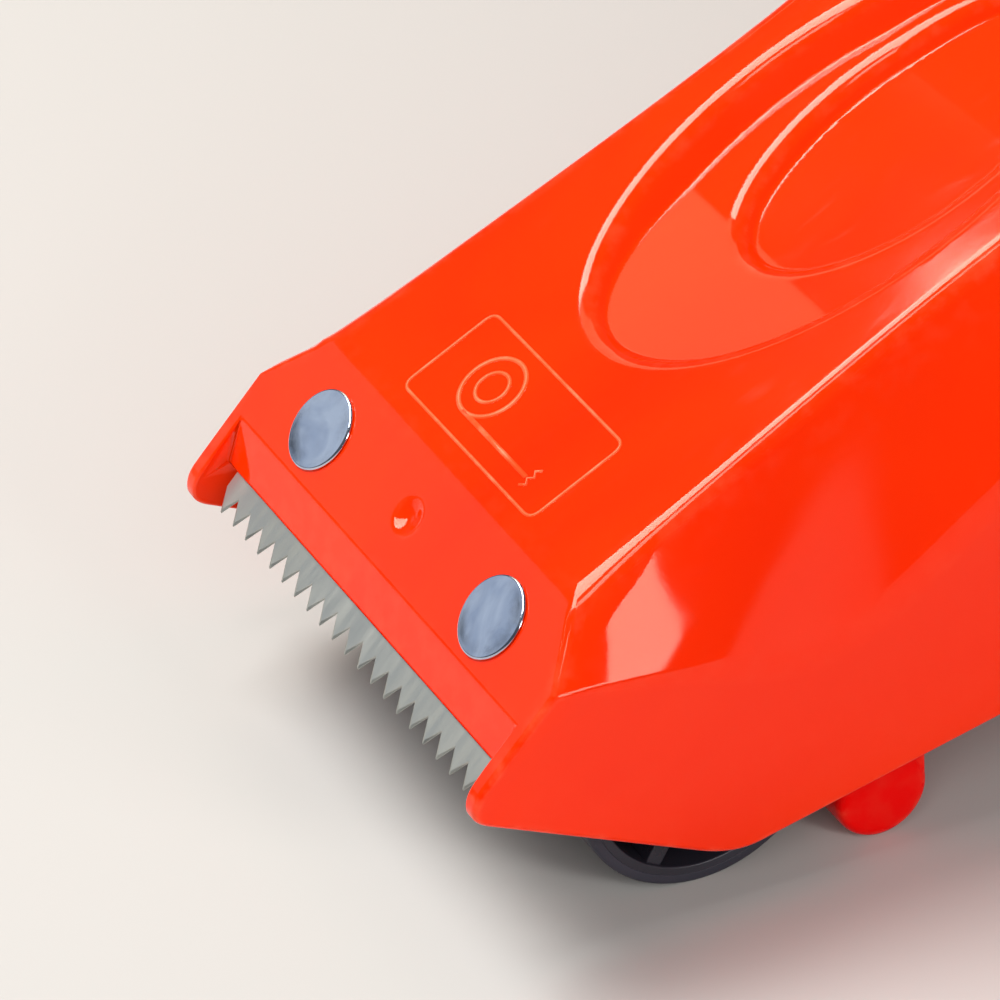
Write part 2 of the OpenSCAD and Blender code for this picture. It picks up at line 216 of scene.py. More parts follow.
def palm_depth(x, up):
    total = 0.0
    for mid, half_w, half_l, depth, bowl in PALM_STEPS:
        u, v = x / half_w, (up - mid) / half_l
        e = math.hypot(u, v)
        if e >= 1:
            continue
        inside = (1 - e) * e / math.hypot(u / half_w, v / half_l) if e > 0.3 else half_w
        ramp = max(0.0, (abs(v) - RAMP_START) / (1 - RAMP_START))
        total += rim_drop(inside, depth + bowl * (1 - ramp**1.3))
    return total


# ---------------------------------------------------------------- mesh helpers
class Solid:
    """Collects faces by their corner points; corners at one place become one vertex."""

    def __init__(self):
        self.bm = bmesh.new()
        self.found = {}
        self.weight = self.bm.edges.layers.float.new("bevel_weight_edge")

    def vertex(self, p):
        key = (round(p[0], 4), round(p[1], 4), round(p[2], 4))
        if key not in self.found:
            self.found[key] = self.bm.verts.new(key)
        return self.found[key]

    def face(self, points):
        verts = []
        for p in points:
            v = self.vertex(p)
            if v not in verts:
                verts.append(v)
        if len(verts) > 2 and not self.bm.faces.get(verts):
            self.bm.faces.new(verts)

    def sheet(self, rows):
        for a, b in zip(rows, rows[1:]):
            for i in range(len(a) - 1):
                self.face([a[i], a[i + 1], b[i + 1], b[i]])

    def soften(self, points, radius, last=None):
        """Marks the edges along a chain of points for rounding, with a radius that may change along it."""
        pairs = list(zip(points, points[1:]))
        for i, (p, q) in enumerate(pairs):
            edge = self.bm.edges.get((self.vertex(p), self.vertex(q)))
            if edge:
                here = mix(radius, radius if last is None else last, i / max(1, len(pairs) - 1))
                edge[self.weight] = here / MAX_ROUND

    def mesh(self, name):
        bmesh.ops.recalc_face_normals(self.bm, faces=self.bm.faces)
        for v in self.bm.verts:
            v.co = row(*v.co)
        for f in self.bm.faces:
            f.smooth = True
        data = bpy.data.meshes.new(name)
        self.bm.to_mesh(data)
        self.bm.free()
        return data


def add_object(name, data):
    obj = bpy.data.objects.new(name, data)
    bpy.context.scene.collection.objects.link(obj)
    return obj


def bake_modifiers(obj):
    bpy.context.view_layer.update()
    graph = bpy.context.evaluated_depsgraph_get()
    data = bpy.data.meshes.new_from_object(obj.evaluated_get(graph))
    obj.modifiers.clear()
    obj.data = data
    return obj


def round_edges(obj, width=None, segments=3, angle=40):
    """Rounds marked edges, or, with a width, all edges sharper than the angle."""
    bevel = obj.modifiers.new("round", "BEVEL")
    bevel.segments = segments
    bevel.use_clamp_overlap = width is not None
    bevel.width = (width if width else MAX_ROUND) / 1000
    bevel.limit_method = "ANGLE" if width else "WEIGHT"
    bevel.angle_limit = math.radians(angle)
    bevel.miter_outer = "MITER_SHARP"
    flat = obj.modifiers.new("flat", "WEIGHTED_NORMAL")
    flat.mode = "FACE_AREA"
    flat.weight = 60
    return bake_modifiers(obj)


def mesh_from(bm, name, matrix=None):
    if matrix:
        bmesh.ops.transform(bm, matrix=matrix, verts=bm.verts)
    bmesh.ops.recalc_face_normals(bm, faces=bm.faces)
    for f in bm.faces:
        f.smooth = True
    data = bpy.data.meshes.new(name)
    bm.to_mesh(data)
    bm.free()
    return add_object(name, data)


def ring(bm, place, r, steps):
    """Points round a circle; place turns two offsets into a point. With no radius it is one point."""
    if r < NOTHING:
        return [bm.verts.new(place(0, 0))]
    turns = [2 * math.pi * i / steps for i in range(steps)]
    return [bm.verts.new(place(r * math.cos(a), r * math.sin(a))) for a in turns]


def join_rings(bm, rings, closed=False):
    """Faces between neighbouring rings; a ring of one point is a tip."""
    steps = max(len(r) for r in rings)
    for a, b in zip(rings, rings[1:] + (rings[:1] if closed else [])):
        if len(a) == 1 and len(b) == 1:
            continue
        for i in range(steps):
            j = (i + 1) % steps
            if len(a) == 1:
                bm.faces.new([a[0], b[i], b[j]])
            elif len(b) == 1:
                bm.faces.new([a[i], a[j], b[0]])
            else:
                bm.faces.new([a[i], a[j], b[j], b[i]])


def lathe(bm, profile, centre, steps=96, closed=True):
    """Turns [x, r] points round an axis along X through centre, which is [y, z]."""
    rings = [ring(bm, lambda u, w: row(x, centre[0] + u, centre[1] + w), r, steps) for x, r in profile]
    join_rings(bm, rings, closed)


def rounded(points, radius, steps=4):
    """The polygon with its corners replaced by arcs; radius may be one value or one per corner."""
    out = []
    n = len(points)
    radii = radius if isinstance(radius, (list, tuple)) else [radius] * n
    for i, p in enumerate(points):
        p = Vector(p)
        if radii[i] <= 0:
            out.append(p)
            continue
        a, b = Vector(points[i - 1]) - p, Vector(points[(i + 1) % n]) - p
        half = a.angle(b) / 2
        cut = min(radii[i] / math.tan(half), a.length * 0.49, b.length * 0.49)
        out += bow(p + a.normalized() * cut, p, p + b.normalized() * cut, steps)
    return out


def prism(bm, *ends):
    """Closes two matching outlines of points into a solid."""
    low, high = [[bm.verts.new(p) for p in end] for end in ends]
    bm.faces.new(low)
    bm.faces.new(high)
    for i in range(len(low)):
        j = (i + 1) % len(low)
        bm.faces.new([low[i], low[j], high[j], high[i]])


def slab(bm, outline, x0, x1):
    """A plate of [y, z] outline between two x values."""
    prism(bm, [row(x0, *p) for p in outline], [row(x1, *p) for p in outline])


def turned(centre, angle, corners):
    """[outwards, across] corners as [y, z] points, turned to an angle round a centre."""
    u, w = Vector((math.cos(angle), math.sin(angle))), Vector((-math.sin(angle), math.cos(angle)))
    return [Vector(centre) + u * r + w * t for r, t in corners]


def plane_matrix(along, out):
    """From [x, along, out] in millimetres from the shoulder to the row frame in metres."""
    m = Matrix.Identity(4)
    for i, axis in enumerate((Vector((1, 0, 0)), Vector((0, *along)), Vector((0, *out)))):
        for j in range(3):
            m[j][i] = axis[j] / 1000
    m.translation = row(0, *SHOULDER)
    return m


PLATE_PLANE = plane_matrix(DOWN_PLATE, PLATE_OUT)
RIDGE_PLANE = plane_matrix(UP_RIDGE, RIDGE_OUT)


# ---------------------------------------------------------------- materials
def srgb(*channels):
    """A linear colour from sRGB channels of 0 to 255."""
    linear = [c / 255 / 12.92 if c <= 10 else ((c / 255 + 0.055) / 1.055) ** 2.4 for c in channels]
    return (*linear, 1.0)


class Finish:
    """A procedural material with colour variation, grain, and wear with painted edge highlights from nodes.
    """

    def __init__(self, name, metallic=0.0, **fixed):
        self.material = bpy.data.materials.new(name)
        self.material.use_nodes = True
        self.tree = self.material.node_tree
        self.shader = self.tree.nodes["Principled BSDF"]
        self.shader.inputs["Metallic"].default_value = metallic
        for socket, value in fixed.items():
            self.shader.inputs[socket.replace("_", " ")].default_value = value
        self.place = self.tree.nodes.new("ShaderNodeTexCoord").outputs["Object"]

    def node(self, kind, **inputs):
        n = self.tree.nodes.new(kind)
        for socket, value in inputs.items():
            self.feed(n.inputs[socket.replace("_", " ")], value)
        return n

    def feed(self, socket, value):
        if isinstance(value, bpy.types.NodeSocket):
            self.tree.links.new(value, socket)
        else:
            socket.default_value = value

    def noise(self, scale, detail=4.0, stretch=(1, 1, 1), distortion=0.0):
        move = self.node("ShaderNodeMapping", Vector=self.place, Scale=stretch)
        n = self.node("ShaderNodeTexNoise", Vector=move.outputs[0], Scale=scale, Detail=detail)
        n.inputs["Distortion"].default_value = distortion
        return n.outputs["Fac"]

    def cells(self, scale):
        return self.node("ShaderNodeTexVoronoi", Vector=self.place, Scale=scale).outputs["Distance"]

    def ramp(self, value, low, high, out_low=0.0, out_high=1.0):
        n = self.node("ShaderNodeMapRange", Value=value)
        for socket, v in (("From Min", low), ("From Max", high), ("To Min", out_low), ("To Max", out_high)):
            n.inputs[socket].default_value = v
        return n.outputs[0]

    def math(self, how, a, b):
        n = self.tree.nodes.new("ShaderNodeMath")
        n.operation = how
        self.feed(n.inputs[0], a)
        self.feed(n.inputs[1], b)
        return n.outputs[0]

    def blend(self, factor, a, b):
        n = self.tree.nodes.new("ShaderNodeMix")
        n.data_type = "RGBA"
        self.feed(n.inputs[0], factor)
        self.feed(n.inputs[6], a)
        self.feed(n.inputs[7], b)
        return n.outputs[2]

    def bump(self, height, strength, distance):
        n = self.node("ShaderNodeBump", Height=height, Strength=strength, Distance=distance)
        if self.shader.inputs["Normal"].links:
            self.feed(n.inputs["Normal"], self.shader.inputs["Normal"].links[0].from_socket)
        self.feed(self.shader.inputs["Normal"], n.outputs[0])

    def edges(self):
        """1 on sharp convex edges, from the mesh's own curvature."""
        point = self.tree.nodes.new("ShaderNodeNewGeometry").outputs["Pointiness"]
        return self.ramp(point, 0.502, 0.56)


def moulded_plastic(name, base, deep, rough=0.055, glow=0.0, shine=0.33):
    """Glossy moulding: slight flow marks, fine scuffs in the gloss, and paler convex edges that are partly
    rubbed wear and partly a painted highlight.
    """
    f = Finish(name, IOR=1.5, Specular_IOR_Level=shine, Subsurface_Weight=glow, Subsurface_Scale=0.004)
    f.shader.inputs["Specular Tint"].default_value = (1.0, 0.86, 0.66, 1)
    f.shader.inputs["Subsurface Radius"].default_value = (1.0, 0.25, 0.05)
    flow = f.ramp(f.noise(38, 3, (1, 0.5, 0.5), 0.6), 0.35, 0.68)
    colour = f.blend(flow, base, deep)
    # Paler colour on convex edges: partly rubbed wear, partly a painted highlight along the rounded edges.
    worn_and_highlit = f.math("MULTIPLY", f.edges(), f.ramp(f.noise(420, 5), 0.45, 0.7, 0.0, 0.35))
    f.feed(f.shader.inputs["Base Color"], f.blend(worn_and_highlit, colour, srgb(255, 150, 110)))
    scratches = f.ramp(f.noise(900, 6, (1, 0.08, 0.4)), 0.56, 0.78, 0.0, 0.05)
    smear = f.ramp(f.noise(60, 4), 0.4, 0.75, rough, rough + 0.02)
    f.feed(f.shader.inputs["Roughness"], f.math("ADD", smear, scratches))
    f.bump(f.noise(110, 2), 0.05, 0.0002)
    f.bump(f.noise(2600, 3), 0.05, 0.00004)
    return f.material


def ground_steel(name, base, deep, rough, stretch, scale=900):
    """Ground or plated steel with its grain along one direction and faint stains."""
    f = Finish(name, metallic=1.0)
    lines = f.noise(scale, 3, stretch)
    stain = f.ramp(f.noise(55, 5), 0.35, 0.75)
    stained_lines = f.math("MULTIPLY", stain, f.ramp(lines, 0.3, 0.7))
    f.feed(f.shader.inputs["Base Color"], f.blend(stained_lines, base, deep))
    f.feed(f.shader.inputs["Roughness"], f.ramp(lines, 0.3, 0.7, rough - 0.06, rough + 0.1))
    f.bump(lines, 0.25, 0.00005)
    return f.material


def satin_plastic(name, base, deep, rough):
    """Spark-eroded dark moulding: fine even grain and slightly polished high spots."""
    f = Finish(name, IOR=1.5)
    f.feed(f.shader.inputs["Base Color"], f.blend(f.ramp(f.noise(70, 5), 0.35, 0.7), base, deep))
    polish = f.ramp(f.edges(), 0, 1, rough, rough - 0.12)
    uneven = f.ramp(f.noise(300, 4), 0.3, 0.7, -0.05, 0.06)
    f.feed(f.shader.inputs["Roughness"], f.math("ADD", polish, uneven))
    f.bump(f.cells(3200), 0.25, 0.00004)
    return f.material


def ground_rubber(name, base, deep):
    """Rubber sleeve: matt, with fine rings from grinding and specks of dust."""
    f = Finish(name, IOR=1.45)
    dust = f.ramp(f.noise(700, 6), 0.66, 0.8, 0, 0.35)
    body = f.blend(f.ramp(f.noise(45, 4), 0.3, 0.7), base, deep)
    f.feed(f.shader.inputs["Base Color"], f.blend(dust, body, srgb(120, 116, 118)))
    f.feed(f.shader.inputs["Roughness"], f.ramp(f.noise(240, 4), 0.3, 0.7, 0.42, 0.6))
    f.bump(f.noise(1500, 2, (1, 0.02, 0.02)), 0.3, 0.00006)
    f.bump(f.noise(3000, 3), 0.3, 0.00004)
    return f.material


def chrome(name):
    """Plated dome: faintly clouded, with light brushing from handling."""
    f = Finish(name, metallic=1.0)
    cloud = f.ramp(f.noise(130, 3, (1, 1, 1), 1.5), 0.4, 0.65)
    f.feed(f.shader.inputs["Base Color"], f.blend(cloud, srgb(205, 214, 228), srgb(176, 188, 208)))
    f.feed(f.shader.inputs["Roughness"], f.ramp(f.noise(800, 5), 0.4, 0.75, 0.12, 0.24))
    f.bump(f.noise(180, 2), 0.35, 0.0001)
    f.bump(f.noise(1800, 3), 0.05, 0.00003)
    return f.material


FINISHES = {
    "shell": moulded_plastic("shell_plastic", srgb(255, 48, 0), srgb(250, 40, 0), glow=0.08),
    "relief": moulded_plastic("relief_plastic", srgb(255, 84, 34), srgb(255, 76, 28), rough=0.36),
    "guide_plastic": moulded_plastic(
        "guide_plastic", srgb(236, 0, 0), srgb(224, 0, 0), rough=0.12, shine=0.12
    ),
    "blade_steel": ground_steel(
        "blade_steel", srgb(188, 189, 182), srgb(165, 166, 158), 0.42, (1, 0.12, 0.12)
    ),
    "rivet_chrome": chrome("rivet_chrome"),
    "zinc_steel": ground_steel(
        "zinc_steel", srgb(190, 192, 196), srgb(160, 160, 158), 0.3, (1, 1, 1), scale=300
    ),
    "spring_steel": ground_steel(
        "spring_steel", srgb(150, 148, 145), srgb(112, 110, 110), 0.34, (1, 0.2, 0.2)
    ),
    "roller_plastic": satin_plastic("roller_plastic", srgb(48, 46, 56), srgb(40, 38, 46), 0.42),
    "roller_rubber": ground_rubber("roller_rubber", srgb(52, 50, 60), srgb(44, 42, 52)),
    "drum_plastic": satin_plastic("drum_plastic", srgb(38, 38, 42), srgb(30, 30, 34), 0.45),
    "nylon": satin_plastic("nylon", srgb(226, 220, 206), srgb(212, 204, 188), 0.45),
}


def finish_piece(obj, body, slot, *nodes, look=None):
    """Gives a piece its look, named by the slot unless another look is given, its body, and hides the CAD
    nodes that it stands in for.
    """
    obj.data.materials.clear()
    obj.data.materials.append(FINISHES[look or slot])
    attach(obj, body)
    if nodes:
        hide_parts(*nodes)


# ---------------------------------------------------------------- shell
def at(x, p):
    """The point at [y, z] in the side view and at x across."""
    return (x, p[0], p[1])


# Grid of the top: columns across it, steps round its arch, and spacing over the palm rest and elsewhere
COLUMNS = 150
ARCH_STEPS = 64
PALM_FROM, PALM_TO = 18, 88
FINE, COARSE = 0.36, 1.3
# Where the crease starts to move out towards the tail
FLARE_START = math.radians(10)


def shell_columns():
    """Places across the top, as shares of its half width."""
    return [-1 + 2 * i / COLUMNS for i in range(COLUMNS + 1)]


def ridge_stations():
    """[ridge point, crease point, length up the ridge] from the shoulder to the tail.

    The stations are closest over the palm rest, and there is no length up the ridge on the arch.
    """
    first = 2.4
    ups = [0.0, first] + spread(first, PALM_FROM, COARSE)[1:] + spread(PALM_FROM, PALM_TO, FINE)[1:]
    ups += spread(PALM_TO, STRAIGHT, COARSE)[1:]
    out = []
    for up in ups:
        k = SHOULDER + up * UP_RIDGE
        c_y = mix(KINK[0], CREASE_JOIN[0], up / STRAIGHT)
        out.append((k, Vector((c_y, crease_z(c_y))), up))
    for i in range(1, ARCH_STEPS + 1):
        turn = mix(CREASE_TURN, TAIL_ANGLE, i / ARCH_STEPS)
        flare = ease((turn - FLARE_START) / (TAIL_ANGLE - FLARE_START))
        k = polar(HUB, ARCH_R, mix(-RIDGE_ANGLE, TAIL_ANGLE, i / ARCH_STEPS))
        out.append((k, polar(HUB, mix(CREASE_R, CREASE_TAIL_R, flare), turn), None))
    return out


def cheek_lower_edge(tail):
    """Side view of a cheek from its horn, round the tip, along the bottom and up to the tail."""
    tip = on_plate(HORN_LEN)
    low = tip + Vector((0.35, -2.6))
    toe = Vector((20.6, 5.6))
    arch = Vector((72, 17.6))
    lobe_r, lobe_steps = 39, 60
    first, last = math.radians(-124), math.radians(-246)
    front, back = polar(HUB, lobe_r, first), polar(HUB, lobe_r, last)
    lobe = []
    for i in range(lobe_steps + 1):
        p = polar(HUB, lobe_r, mix(first, last, i / lobe_steps))
        lobe.append(Vector((p[0], max(p[1], 0))))
    line = bow(tip - 1.9 * DOWN_PLATE, tip, mix(tip, low, 0.62), 7)
    line += bow(mix(tip, low, 0.62), low, low + 1.9 * (toe - low).normalized(), 8)[1:]
    line += bow(mix(toe, low, 0.14), toe, mix(toe, arch, 0.06), 8)
    line += bow(mix(toe, arch, 0.8), arch + Vector((14, 3)), front, 14)
    line += lobe[1:] + bow(back, polar(HUB, 1.15 * lobe_r, math.radians(92)), tail, 12)[1:]
    return line


def top_rows(stations, columns):
    """A row of points over the top for each station, with the palm rest sunk into it."""
    rows = []
    for k, _, up in stations:
        w = ridge_half(k[0])
        line = [at(-w, k)]
        for q in columns:
            x = q * (w - WALL_T)
            line.append(at(x, k if up is None else k - RIDGE_OUT * palm_depth(x, up)))
        rows.append(line + [at(w, k)])
    return rows


def side_rows(stations, sign):
    """A row of points down a slanted side for each station, from the ridge to the crease."""
    rows = []
    for k, c, _ in stations:
        high, low = at(sign * ridge_half(k[0]), k), at(sign * OUT_X, c)
        mid = [mix(Vector(high), Vector(low), t) for t in (0.36, 0.66)]
        rows.append([high] + mid + [low])
    return rows


PLATE_DOWNS = [0.0, 2.1, 4.2, 6.3, KINK_LEN, 10.8, BEVEL_START]
KINK_DOWNS = [d for d in PLATE_DOWNS if d <= KINK_LEN]
HORN_POINTS = [on_plate(d) for d in PLATE_DOWNS if d >= KINK_LEN]


def plate_rows(columns):
    """Rows of points across the front plate, from the shoulder to its bevel."""
    rows = []
    for down in PLATE_DOWNS:
        p, w = on_plate(down), plate_half(down)
        rows.append([at(-w, p)] + [at(q * (w - WALL_T), p) for q in columns] + [at(w, p)])
    return rows


def inner_rows(stations, columns):
    """A row of points under the top for each station, which follows the palm rest."""
    rows = []
    for i, (k, _, up) in enumerate(stations):
        w = ridge_half(k[0]) - WALL_T
        normal = (k - Vector(HUB)).normalized() if up is None else RIDGE_OUT
        base = k - TOP_T * normal
        if i == 0:
            base = base + TOP_T * math.tan((PLATE_ANGLE - RIDGE_ANGLE) / 2) * UP_RIDGE
        line = []
        for q in columns:
            sink = 0 if up is None else palm_depth(q * w, up)
            line.append(at(q * w, base - normal * sink))
        rows.append(line)
    return rows


def inner_crease_line(stations):
    """[y, z] points inside the crease, which start behind the plate's kink and ease into place."""
    start, gap, settle_len = on_plate(KINK_LEN + 0.6, -TOP_T), 1.3, 12
    line = []
    for k, c, up in stations:
        settled = 1 if up is None else ease(up / settle_len)
        line.append(mix(start + (c - stations[0][1]), c - gap * (k - c).normalized(), settled))
    return line


def mark_rounding(s, stations, top, sides, bevel, lower, inner_tail):
    """Rounding of the shell's edges; along the crease it widens over the first stations."""
    settle = 40
    tail = stations[-1][1]
    for sign, end in ((1, -1), (-1, 0)):
        s.soften([line[end] for line in top], 1.5, 2.1)
        s.soften([at(sign * plate_half(d), on_plate(d)) for d in KINK_DOWNS], 0.8)
        crease = [at(sign * OUT_X, c) for _, c, _ in stations]
        s.soften(crease[:settle], 0.4, 2.0)
        s.soften(crease[settle - 1 :], 2.0)
        s.soften([at(sign * OUT_X, p) for p in HORN_POINTS + lower], 0.7)
        s.soften([at(sign * IN_X, p) for p in HORN_POINTS[-1:] + lower[:-1]], 0.35)
        s.soften([at(sign * OUT_X, tail), at(sign * IN_X, inner_tail)], 0.5)
        s.soften(list(reversed(sides[sign][-1])), 0.6)
    s.soften(top[0], 1.5)
    s.soften(top[-1], 0.6)
    s.soften(bevel[0], 0.35)
    s.soften(bevel[1], 0.1)


def build_shell():
    s = Solid()
    columns = shell_columns()
    inner_columns = columns[::3]
    stations = ridge_stations()

    # Top, front plate and the plate's bevel
    top = top_rows(stations, columns)
    s.sheet(top)
    s.sheet(plate_rows(columns))
    lip = on_plate(BEVEL_END, BEVEL_LIP - TOP_T)
    foot = on_plate(BEVEL_END, -TOP_T)
    bevel = [[at(q * IN_X, p) for q in columns] for p in (on_plate(BEVEL_START), lip)]
    s.sheet(bevel)

    # Slanted sides; the first face on each side has the plate's own points along its front
    sides = {sign: side_rows(stations, sign) for sign in (1, -1)}
    for sign, lines in sides.items():
        fan = [at(sign * plate_half(d), on_plate(d)) for d in KINK_DOWNS]
        s.face(fan + list(reversed(lines[1])))
        s.sheet(lines[1:])

    # Cheeks: outer and inner faces, with a strip along the edge between them
    lower = cheek_lower_edge(stations[-1][1])
    inner_crease = inner_crease_line(stations)
    for sign in (1, -1):
        crease = [at(sign * OUT_X, c) for _, c, _ in stations]
        outer = [at(sign * OUT_X, p) for p in HORN_POINTS + lower]
        s.face(crease + list(reversed(outer))[:-1])
        strip_out = [at(sign * OUT_X, p) for p in HORN_POINTS[-1:] + lower]
        strip_in = [at(sign * IN_X, p) for p in HORN_POINTS[-1:] + lower[:-1] + inner_crease[-1:]]
        s.sheet([strip_out, strip_in])
        s.face(strip_in + [at(sign * IN_X, c) for c in [*reversed(inner_crease[:-1]), foot, lip]])

    # Inner skin, with a strip down to the inside of each cheek
    inner = inner_rows(stations, inner_columns)
    s.sheet(inner)
    for sign, end in ((1, -1), (-1, 0)):
        s.sheet([[line[end], at(sign * IN_X, c)] for line, c in zip(inner, inner_crease)])

    # Underside of the plate and the lip at its front edge
    under_front = [at(q * IN_X, foot) for q in inner_columns]
    under_back = [at(-IN_X, inner_crease[0])] + inner[0] + [at(IN_X, inner_crease[0])]
    s.face(under_back + list(reversed(under_front)))
    s.face(bevel[1] + list(reversed(under_front)))

    # Rear end, in the plane of the last station
    rim = list(reversed(sides[1][-1][1:])) + list(reversed(top[-1])) + sides[-1][-1][1:]
    s.face(rim + [at(-IN_X, inner_crease[-1])] + inner[-1] + [at(IN_X, inner_crease[-1])])

    mark_rounding(s, stations, top, sides, bevel, lower, inner_crease[-1])
    return add_object("shell", s.mesh("shell"))


def dish(obj, centre, radius, depth):
    """Sinks a smooth round pip into the front plate, after refining the faces there."""
    bm = bmesh.new()
    bm.from_mesh(obj.data)
    mid = row(centre[0], *on_plate(centre[1]))
    out = Vector((0, *PLATE_OUT))
    reach, shortest, cuts = 0.0045, 0.001, 9

    def on_the_plate(face):
        off = face.calc_center_median() - mid
        return off.length < reach and abs(face.normal.dot(out)) > 0.999 and abs(off.dot(out)) < 1e-5

    near = [f for f in bm.faces if on_the_plate(f)]
    edges = list({e for f in near for e in f.edges if e.calc_length() > shortest})
    bmesh.ops.subdivide_edges(bm, edges=edges, cuts=cuts, use_grid_fill=True)
    for v in bm.verts:
        off = v.co - mid
        fall = off.length / (radius / 1000)
        if abs(off.dot(out)) < NOTHING and fall < 1:
            v.co -= out * depth / 1000 * (1 - fall * fall) ** 2
    bm.to_mesh(obj.data)
    bm.free()


def frame_large_faces(obj):
    """Puts a narrow rim inside each many-sided flat face, so that its paler edge, partly rubbed wear and
    partly a painted highlight, stays at its edge.
    """
    bm = bmesh.new()
    bm.from_mesh(obj.data)
    many_sides, rim = 60, 0.3 / 1000
    large = [f for f in bm.faces if len(f.verts) > many_sides]
    bmesh.ops.inset_individual(bm, faces=large, thickness=rim, use_even_offset=False)
    bm.to_mesh(obj.data)
    bm.free()


def smooth_palm(obj):
    """Gives the palm rest the normals of its own formula, so that its rims shine evenly."""
    data = obj.data
    normals = [Vector(n.vector) for n in data.corner_normals]
    step, clear, near = 0.05, 0.3, 0.004
    exact = {}
    for v in data.vertices:
        p = v.co * 1000
        flat = Vector((p.y - SHIFT_Y, p.z)) - SHOULDER
        up, out = flat.dot(UP_RIDGE), flat.dot(RIDGE_OUT)
        half = ridge_half(SHOULDER[0] + up * UP_RIDGE[0]) - clear
        inside = 2 < up < STRAIGHT - 1 and abs(p.x) < half
        if inside and abs(out + palm_depth(p.x, up)) < near:
            across = (palm_depth(p.x + step, up) - palm_depth(p.x - step, up)) / (2 * step)
            along = (palm_depth(p.x, up + step) - palm_depth(p.x, up - step)) / (2 * step)
            exact[v.index] = Vector((across, *(RIDGE_OUT + along * UP_RIDGE))).normalized()
    for loop in data.loops:
        if loop.vertex_index in exact:
            normals[loop.index] = exact[loop.vertex_index]
    data.normals_split_custom_set(normals)


shell = build_shell()
dish(shell, (-0.3, 6.9), 2.5, 0.8)
round_edges(shell, segments=5)
frame_large_faces(shell)
smooth_palm(shell)
finish_piece(shell, "body", "shell", "body_shell")


# ---------------------------------------------------------------- blade and rivets
def build_blade():
    """Strip with a row of leaning teeth, each ground to a thin edge from above and from below."""
    bm = bmesh.new()
    top, low = -TOP_T, -TOP_T - BLADE_T
    edge, thin, ground = top - 0.1, top - 0.17, BLADE_ROOT - 1.6
    half = PITCH * TEETH / 2
    land, grind, lean, tip_slope = 0.22, 0.14, 0.57, 0.06
    tip_down = BLADE_ROOT + TOOTH_H
    slope = (BLADE_SIDE - BLADE_BACK) / (half - BLADE_GAP - BLADE_BACK_HALF)

    def v(x, down, out):
        return bm.verts.new((x, down, out))

    for i in range(TEETH):
        x0 = -half + PITCH * i
        tip = x0 + lean * PITCH
        left = x0 + (BLADE_GAP if i == 0 else 0)
        right = x0 + PITCH - (BLADE_GAP if i == TEETH - 1 else 0)
        # Upper face: a strip down to the grind line, then the two ground flanks
        back0, back1 = (BLADE_BACK + slope * max(0, abs(x) - BLADE_BACK_HALF) for x in (left, right))
        a, b = v(left, back0, top), v(right, back1, top)
        g0, g1 = v(left, BLADE_ROOT - grind, top), v(right, BLADE_ROOT - grind, top)
        gt = v(tip, tip_down - 3.2 * grind, top)
        bm.faces.new([a, b, g1, gt, g0])
        e0, e1 = v(left, BLADE_ROOT, edge), v(right, BLADE_ROOT, edge)
        t0 = v(tip - land / 2, tip_down - tip_slope, edge)
        t1 = v(tip + land / 2, tip_down, edge)
        bm.faces.new([g0, gt, t0, e0])
        bm.faces.new([gt, g1, e1, t1])
        bm.faces.new([gt, t1, t0])
        # Thin edge, ground underside of the tooth and the flat lower face
        f0, f1 = v(left, BLADE_ROOT, thin), v(right, BLADE_ROOT, thin)
        u0, u1 = v(t0.co.x, t0.co.y, thin), v(t1.co.x, t1.co.y, thin)
        bm.faces.new([e0, t0, u0, f0])
        bm.faces.new([t1, e1, f1, u1])
        bm.faces.new([t0, t1, u1, u0])
        c, d = v(left, back0, low), v(right, back1, low)
        m0, m1 = v(left, ground, low), v(right, ground, low)
        bm.faces.new([f0, u0, u1, f1])
        bm.faces.new([m0, f0, f1, m1])
        bm.faces.new([c, m0, m1, d])
        bm.faces.new([a, c, d, b])
        if i == 0:
            bm.faces.new([a, g0, e0, f0, m0, c])
        if i == TEETH - 1:
            bm.faces.new([b, d, m1, f1, e1, g1])
    bmesh.ops.remove_doubles(bm, verts=bm.verts, dist=0.0005)
    obj = mesh_from(bm, "blade_strip", PLATE_PLANE)
    for f in obj.data.polygons:
        f.use_smooth = False
    return obj


finish_piece(build_blade(), "body", "blade_steel", "blade")


def build_backing():
    bm = bmesh.new()
    low = -TOP_T - BLADE_T - BACKING_T
    w, start, end = BACKING_HALF, BLADE_BACK, BACKING_END
    points = rounded([(-w, start), (w, start), (w, end), (-w, end)], 1.5, 6)
    prism(bm, *([(*p, z) for p in points] for z in (low, low + BACKING_T)))
    return round_edges(mesh_from(bm, "backing_strip", PLATE_PLANE), 0.2, 2)


finish_piece(build_backing(), "body", "zinc_steel", "blade_backing")


def build_rivet(x, side):
    """Domed cap on the plate, shank through it and a peened end under the backing strip."""
    bm = bmesh.new()
    cap, height, rim, crown, shank = 4.65, 0.7, 0.28, 0.3, 2.0
    under = -TOP_T - BLADE_T - BACKING_T
    profile = [(r, height - crown * (r / cap) ** 2) for r in spread(0, cap - rim, 0.5)]
    shoulder = profile[-1][1]
    for a in spread(0.15, math.pi / 2, 0.2):
        profile.append((cap - rim + rim * math.sin(a), shoulder - rim * (1 - math.cos(a))))
    profile += [(cap - 0.1, 0.0), (shank, 0.0), (shank, under), (3.4, under), (3.6, under - 0.3)]
    profile += [(3.2, under - 0.9), (1.6, under - 1.0), (0, under - 0.75)]
    rings = [ring(bm, lambda u, w: (x + u, RIVET_LEN + w, z), r, 96) for r, z in profile]
    join_rings(bm, rings)
    obj = mesh_from(bm, f"rivet_{side}_cap", PLATE_PLANE)
    finish_piece(obj, "body", "rivet_chrome", f"rivet_{side}")


build_rivet(-RIVET_X, "left")
build_rivet(RIVET_X, "right")


